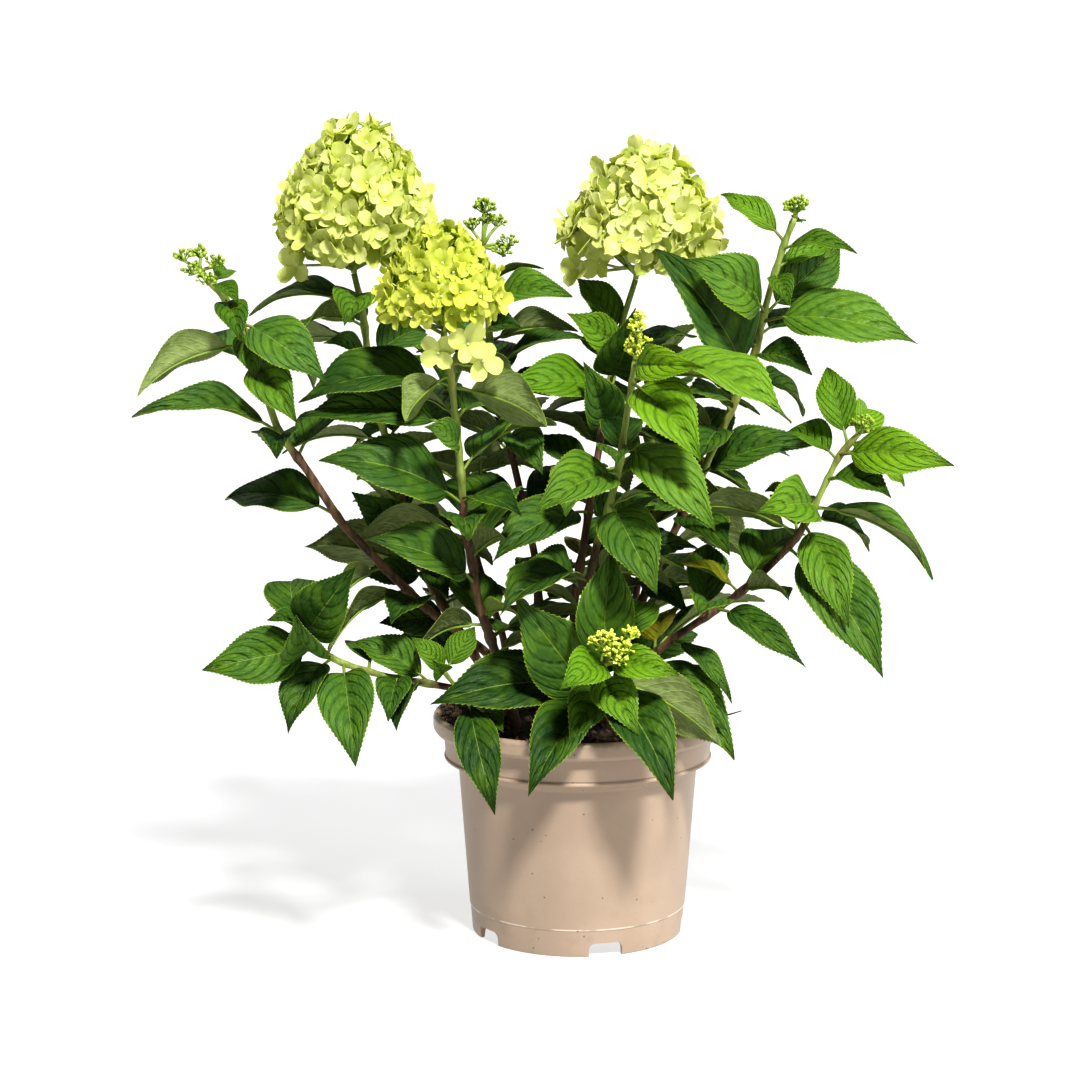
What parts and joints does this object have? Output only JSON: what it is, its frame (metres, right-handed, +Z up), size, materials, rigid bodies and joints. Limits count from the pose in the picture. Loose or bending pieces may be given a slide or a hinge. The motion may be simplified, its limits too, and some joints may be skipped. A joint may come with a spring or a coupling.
{
  "type": "potted panicle hydrangea",
  "caption": "Flowering shrub in a round tapered nursery pot, with toothed leaves on woody canes, cone-shaped heads of four-lobed florets and panicles in bud.",
  "frame": {"origin": "on the pot's axis, on the surface that the pot stands on", "axes": "+Z up along the pot's axis, -Y towards the plant's open front, +X to the right seen from the front"},
  "size_m": [0.5028, 0.3156, 0.532],
  "materials": {
    "pot": "satin",
    "soil": "matte",
    "foliage": "satin",
    "lime_petals": "matte",
    "green_petals": "matte",
    "buds": "matte"
  },
  "bodies": {
    "root": {"pot": "pot", "soil": "soil", "left_cane": "foliage", "yellow_head_cane": "foliage", "lime_head_cane": "foliage", "open_bud_cane": "foliage", "right_head_cane": "foliage", "front_bud_cane": "foliage", "right_high_cane": "foliage", "right_low_cane": "foliage", "front_low_shoot": "foliage", "left_low_shoot": "foliage", "left_young_shoot": "foliage", "back_left_cane": "foliage", "back_right_cane": "foliage", "lime_flower_head": "lime_petals", "yellow_flower_head": "green_petals", "right_flower_head": "lime_petals", "left_bud_panicle": "buds", "open_bud_panicle": "buds", "front_bud_panicle": "buds", "right_bud_panicle": "buds", "right_low_bud_panicle": "buds", "front_low_bud_panicle": "buds"}
  },
  "joints": []
}
